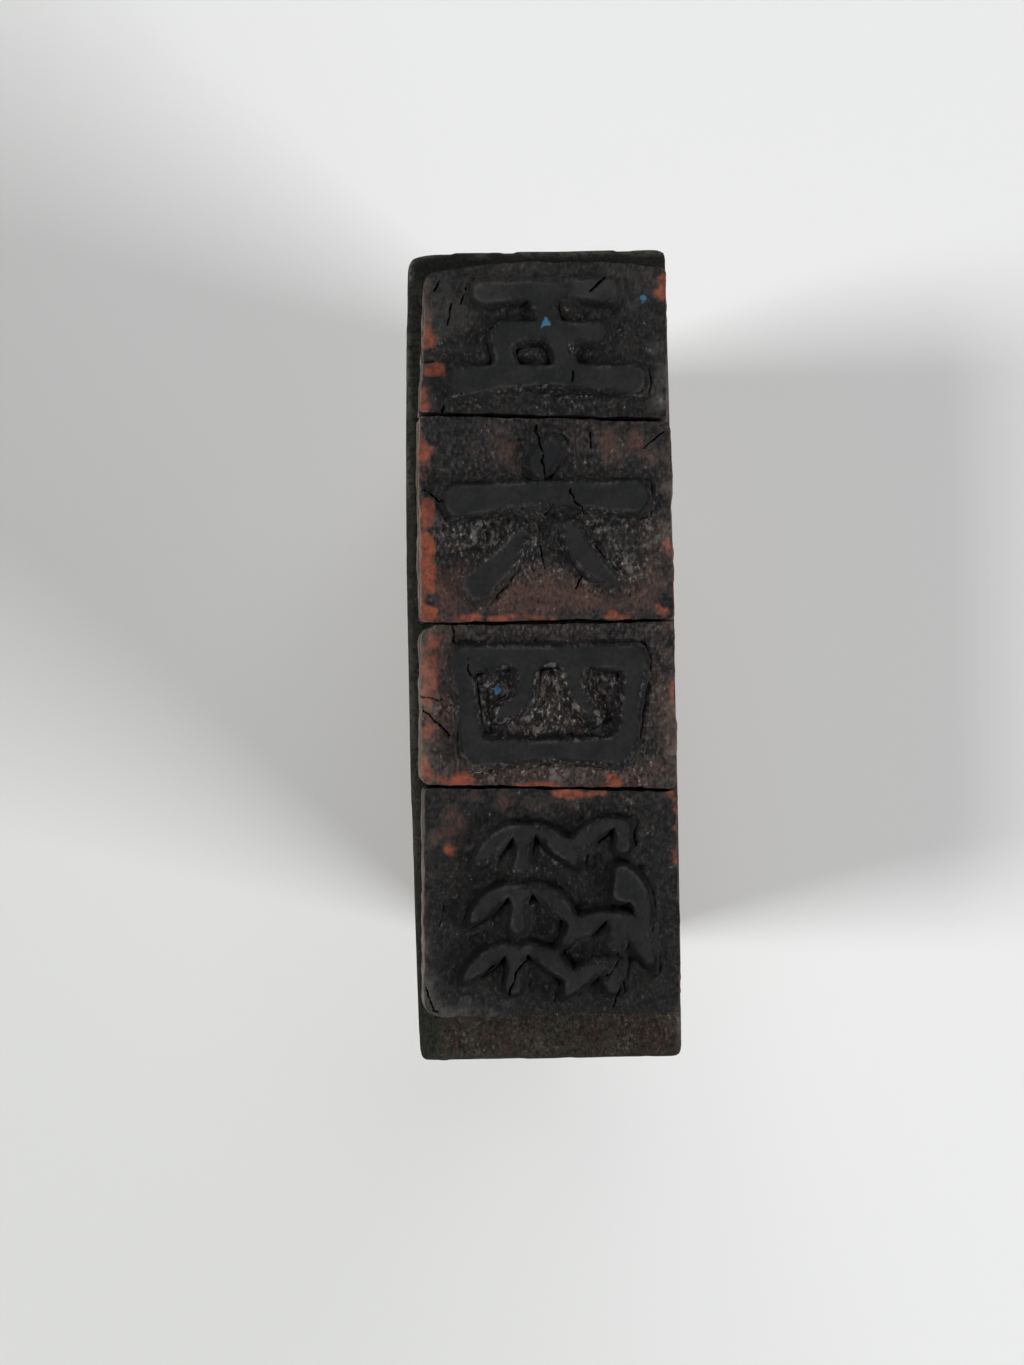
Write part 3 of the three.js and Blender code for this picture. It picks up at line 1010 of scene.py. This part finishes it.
@dataclass
class Handle:
    """The wooden handle, its edges rounded and dented by use."""

    node: str = "handle"
    seed: int = 3
    voxel: float = 0.27
    dent: float = 0.14
    near_strip: float = 3.3
    plate_end: float = 2
    far_right_round: float = 0.8

    def build(self, finish: StainedWood) -> bpy.types.Object:
        """Shapes the handle and marks it for its finish.

        Args:
            finish: The wood.

        Returns:
            The piece.
        """
        fine = FineMesh("handle_worn", self.node, self.voxel, self.seed)
        points = fine.points
        fine.points = fine.blurred(points, 3)
        edge = ramp(fine.convexity(10), 0.03, 0.14)
        dents = self.dent * edge * ramp(fine.grain.cloud(points, (1.5, 2.5, 1.5), 2), 0.1, 0.9)
        rise = 0.03 + 0.03 * fine.grain.cloud(points, (5, 12, 5), 2) - dents
        fine.points += rise[:, None] * fine.normals()
        fine.points[:, 2] = np.maximum(fine.points[:, 2], fine.low[2])
        self._round_corner(fine, points)
        self._mark(fine, points, edge)
        piece = fine.finished()
        piece.data.materials.append(finish.material(fine.high[2]))
        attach(piece, "root")
        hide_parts(self.node)
        return piece

    def _round_corner(self, fine: FineMesh, points: Array) -> None:
        """Rounds the plate's far right corner, found from where the points were at first."""
        inside = fine.high[1:] - self.plate_end
        plate = fine.points[(points[:, 1:] > inside).all(axis=1)]
        right = plate[:, 0].max()
        corner = np.array([right, plate[plate[:, 0] > right - 1, 1].max()])
        past = np.maximum(fine.points[:, :2] - corner + self.far_right_round, 0)
        past *= (fine.points[:, 1] > inside[0])[:, None]
        reach = np.maximum(np.hypot(*past.T), self.far_right_round)
        fine.points[:, :2] += (self.far_right_round / reach - 1)[:, None] * past

    def _mark(self, fine: FineMesh, points: Array, edge: Array) -> None:
        """Marks the worn edges, the near strip that is rubbed bare, and darkening towards the far end."""
        low, high = fine.low, fine.high
        x, y, z = points.T
        strip = ramp(y, low[1] + self.near_strip + 0.3, low[1] + self.near_strip - 0.3)
        strip *= ramp(x, low[0] + 1.4, low[0] + 2.2) * ramp(z, high[2] - 0.4, high[2] - 0.1)
        strip *= ramp(y, low[1] + 0.1, low[1] + 0.5)
        corner = np.hypot(x - low[0], y - high[1]) + 0.5 * fine.grain.cloud(points, 0.8, 3)
        worn = edge * ramp(fine.grain.cloud(points, (3, 4, 3), 2), -0.3, 0.5) * 0.6
        worn *= 1 - ramp(y, low[1] + 1.5, low[1] + 0.8) * ramp(z, high[2] - 1.0, high[2] - 0.5)
        fine.mark(Mark.DUST_AND_HIGHLIGHT, np.maximum(worn, ramp(corner, 2.2, 1.2) * edge * 0.9))
        fine.mark(Mark.THIN, strip)
        # Darker towards the far end of the face, near its top.
        fine.mark(Mark.SOOT_AND_SHADE, ramp(y, high[1] - 2.4, high[1] - 1.4) * ramp(z, high[2] - 2, high[2] - 1))


@dataclass(frozen=True)
class Lamp:
    """One soft lamp that faces the stamp.

    Its level is how brightly it lights a level white surface beside the stamp, where 1 is white.
    """

    name: str
    place: Point
    size: Place
    level: float

    def build(self) -> None:
        """Hangs the lamp."""
        place = Vector(self.place)
        lamp = bpy.data.lights.new(self.name, "AREA")
        lamp.shape = "RECTANGLE"
        lamp.size, lamp.size_y = (side * MM for side in self.size)
        slant = place.normalized().z
        lamp.energy = self.level * math.pi**2 * (place.length * MM) ** 2 / slant
        made = bpy.data.objects.new(self.name, lamp)
        made.visible_camera = False
        made.location = place * MM
        made.rotation_euler = (-place).to_track_quat("-Z", "Y").to_euler()
        bpy.context.scene.collection.objects.link(made)


@dataclass
class Studio:
    """The table top, the lamps, the room and the camera."""

    lamps: Sequence[Lamp] = (
        Lamp("lamp_right", (1782, -960, 862), (1025, 452), 0.38),
        Lamp("lamp_left", (-1709, -228, 1367), (502, 702), 0.4),
        Lamp("lamp_far", (277, 1409, 1085), (1875, 1875), 0.235),
    )
    room_light: float = 0.03
    backdrop: float = 0.8
    picture_width: int = 1024
    focal_pixels: float = 1105
    camera_height: float = 73.7
    camera_offset: Place = (-2.02, -1.79)
    camera_roll: float = 1.05
    nearest_seen: float = 5
    table_radius: float = 900

    def build(self) -> None:
        """Sets the table top, the lamps, the room and the camera."""
        self._table()
        for lamp in self.lamps:
            lamp.build()
        self._room()
        self._camera()

    def _table(self) -> None:
        """Lays the table top."""
        work = bmesh.new()
        bmesh.ops.create_circle(work, cap_ends=True, segments=128, radius=self.table_radius * MM)
        mesh = bpy.data.meshes.new("table_top")
        work.to_mesh(mesh)
        work.free()
        table = bpy.data.objects.new("table_top", mesh)
        mesh.materials.append(PaleTable().material())
        bpy.context.scene.collection.objects.link(table)

    def _room(self) -> None:
        """Fills the room: an even light, and to the eye a pale backdrop that is dim overhead."""
        world = bpy.data.worlds.new("room")
        world.use_nodes = True
        paint = Paint("room", world.node_tree)
        towards = paint.node("TexCoord", output="Generated")
        rise = paint.node("SeparateXYZ", None, {0: towards}, "Z")
        strength = rise.graded(0.55, 0.85, self.backdrop, self.room_light * 0.3)
        backdrop = paint.node("Background", None, {"Strength": strength})
        even = paint.node("Background", None, {"Color": (1, 1, 1, 1), "Strength": self.room_light})
        seen = paint.node("LightPath", output="Is Camera Ray")
        for kind in ("Glossy", "Transmission"):
            seen = seen.largest(paint.node("LightPath", output=f"Is {kind} Ray"))
        paint.close(paint.node("MixShader", None, {0: seen, 1: even, 2: backdrop}), "World")
        bpy.context.scene.world = world

    def _camera(self) -> None:
        """Sets the camera straight above, turned as the photographer held it."""
        data = bpy.data.cameras.new("camera")
        data.sensor_fit = "HORIZONTAL"
        data.lens = data.sensor_width * self.focal_pixels / self.picture_width
        data.clip_start = self.nearest_seen * MM
        camera = bpy.data.objects.new("camera", data)
        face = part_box("handle")[1].z
        x, y = self.camera_offset
        camera.location = Vector((x * MM, y * MM, face + self.camera_height * MM))
        camera.rotation_euler = (0, 0, -math.radians(self.camera_roll))
        bpy.context.scene.collection.objects.link(camera)
        bpy.context.scene.camera = camera


FAR_DIE = RubberDie(
    node="die_five",
    seed=11,
    bare=[
        (-7.15, 20.5, 0.55, 1.05), (-6.85, 18.5, 0.65, 0.5), (-7.5, 16.7, 0.3, 0.95), (8.35, 24.3, 0.5, 1.4),
    ],
    thin=[(-7.4, 22.0, 0.5, 2.2), (-7.3, 18.0, 0.5, 2.0)],
    dust_and_highlight_spots=[(-7.9, 23.4, 0.2, 1.6), (7.9, 17.4, 0.4, 1.2)],
    veiled=[(0.3, 24.9, 8.5, 0.9), (-5.4, 22.9, 2.6, 2.2), (5.6, 24.0, 2.8, 1.2)],
    gritty=[(-1.0, 20.6, 4.2, 1.1), (0.8, 17.0, 4.5, 0.7)],
    blue=[(0.59, 21.3, 0.17, 3), (7.0, 23.0, 0.18, 4)],
    cracks=[
        [(-6.3, 24.4), (-6.6, 23.8)], [(-4.5, 23.9), (-4.9, 22.9)], [(-5.5, 22.9), (-5.8, 21.6)],
        [(-6.1, 16.3), (-6.3, 15.6)], [(-7.7, 19.2), (-6.7, 19.2)], [(4.5, 24.3), (3.5, 23.4)],
        [(2.3, 18.2), (2.3, 17.7)],
    ],
    salt=0.8,
    soot=0.27,
    far_rim=0.9,
)
SECOND_DIE = RubberDie(
    node="die_six",
    seed=12,
    bare=[
        (-7.55, 13.6, 0.4, 1.5), (-7.4, 9.4, 0.5, 1.1), (-7.4, 5.5, 0.55, 2.5), (-7.3, 3.1, 0.5, 0.7),
        (-3.4, 2.45, 2.3, 0.34), (0.4, 2.4, 1.3, 0.28), (4.2, 2.35, 1.2, 0.24), (7.9, 2.75, 0.6, 0.5),
        (8.3, 6.7, 0.22, 0.6),
    ],
    thin=[
        (-5.4, 4.2, 2.4, 2.0), (0.4, 3.6, 7.6, 1.7), (7.2, 5.0, 1.0, 2.4), (6.4, 3.7, 1.6, 1.3),
        (-2.6, 13.7, 0.8, 0.8), (5.6, 13.6, 1.9, 0.9),
    ],
    gritty=[(-3.8, 6.8, 4.0, 2.4), (4.7, 6.8, 3.5, 2.4)],
    dust_and_highlight_spots=[(8.5, 10.0, 0.3, 2.6)],
    cracks=[
        [(-0.1, 15.0), (0.2, 12.9), (0.4, 11.5)], [(3.4, 14.4), (3.4, 13.3)],
        [(2.0, 10.6), (2.2, 9.8), (2.9, 9.2)], [(0.8, 9.6), (0.3, 9.0)], [(0.0, 7.1), (0.2, 5.6)],
        [(-7.9, 11.0), (-6.2, 10.0)], [(2.8, 5.1), (2.3, 4.3)], [(8.2, 14.4), (6.8, 13.3)],
    ],
    grit=0.32,
    brown=0.3,
)
THIRD_DIE = RubberDie(
    node="die_four",
    seed=13,
    bare=[
        (-7.05, 0.85, 0.3, 0.35), (-7.5, -1.0, 0.55, 1.5), (-7.7, -4.8, 0.4, 0.6), (-7.8, -7.5, 0.5, 0.8),
        (-5.8, -8.1, 1.1, 0.5), (-0.6, -8.4, 1.5, 0.3), (4.3, -8.3, 0.7, 0.4), (8.4, -2.5, 0.2, 0.6),
    ],
    thin=[(-6.8, -3.0, 1.2, 5.0), (-0.4, -7.6, 6.0, 1.1), (4.6, -7.9, 3.0, 0.6), (8.3, -4.0, 0.5, 3.0)],
    gritty=[(0.2, -3.0, 5.0, 2.4), (0.7, -6.9, 4.6, 1.2)],
    dust_and_highlight_spots=[(8.6, -5.5, 0.3, 2.0), (-7.8, -0.9, 0.5, 2.0), (-8.0, -6.6, 0.5, 2.0)],
    blue=[(-3.0, -2.25, 0.23, 4)],
    cracks=[
        [(-5.9, 2.0), (-5.6, 0.8), (-5.4, 0.5)], [(-4.9, -0.3), (-4.8, -1.1), (-4.4, -1.5)],
        [(-8.1, -2.5), (-6.6, -2.9)], [(-7.8, -3.5), (-6.1, -5.1)], [(1.8, -5.2), (1.8, -5.6)],
    ],
    grit=0.42,
    salt=1.3,
    brown=0.4,
)
NEAR_DIE = RubberDie(
    node="die_bamboo",
    seed=14,
    bare=[(2.1, -9.15, 1.4, 0.3), (-6.3, -12.5, 0.1, 0.14), (8.45, -10.3, 0.2, 1.3)],
    thin=[(2.1, -9.3, 2.6, 0.6), (1.5, -9.1, 6.4, 0.35), (-6.4, -11.0, 0.9, 1.2)],
    gritty=[(3.7, -11.0, 3.0, 1.4), (-1.0, -13.6, 2.0, 0.8)],
    salt=0.6,
    sooty=[(0.6, -16.4, 6.4, 3.4), (2.6, -20.8, 5.6, 2.8), (-3.0, -18.8, 3.0, 2.4)],
    dust_and_highlight_spots=[(-8.0, -21.6, 0.7, 1.6), (-6.2, -23.2, 2.0, 0.4), (-8.2, -17.0, 0.25, 3.0)],
    cracks=[
        [(-6.7, -16.3), (-7.1, -17.6)], [(-3.5, -20.1), (-4.3, -20.8)],
        [(-1.3, -19.5), (-2.0, -20.5), (-2.6, -22.1)], [(4.5, -19.5), (4.4, -20.0), (3.8, -20.8)],
        [(4.6, -21.7), (4.1, -23.1)], [(-8.0, -21.5), (-7.5, -23.0), (-7.2, -23.2)],
    ],
    soot=0.3,
    shade=0.8,
)


def announce(piece: bpy.types.Object) -> None:
    """Logs a piece and how many points it has."""
    log.info("%s: %d points", piece.name, len(piece.data.vertices))


def main() -> None:
    """Builds the studio and every piece in order."""
    logging.basicConfig(level=logging.INFO, format="%(message)s")
    bpy.context.scene.view_settings.view_transform = "Standard"
    Studio().build()
    announce(Handle().build(StainedWood()))
    rubber = InkedRubber().material()
    cement = DriedCement().material()
    for die in (FAR_DIE, SECOND_DIE, THIRD_DIE, NEAR_DIE):
        announce(die.build(rubber))
        announce(CementFilm(die.node.replace("die_", "cement_under_"), die.seed).build(cement))


if __name__ == "__main__":
    main()
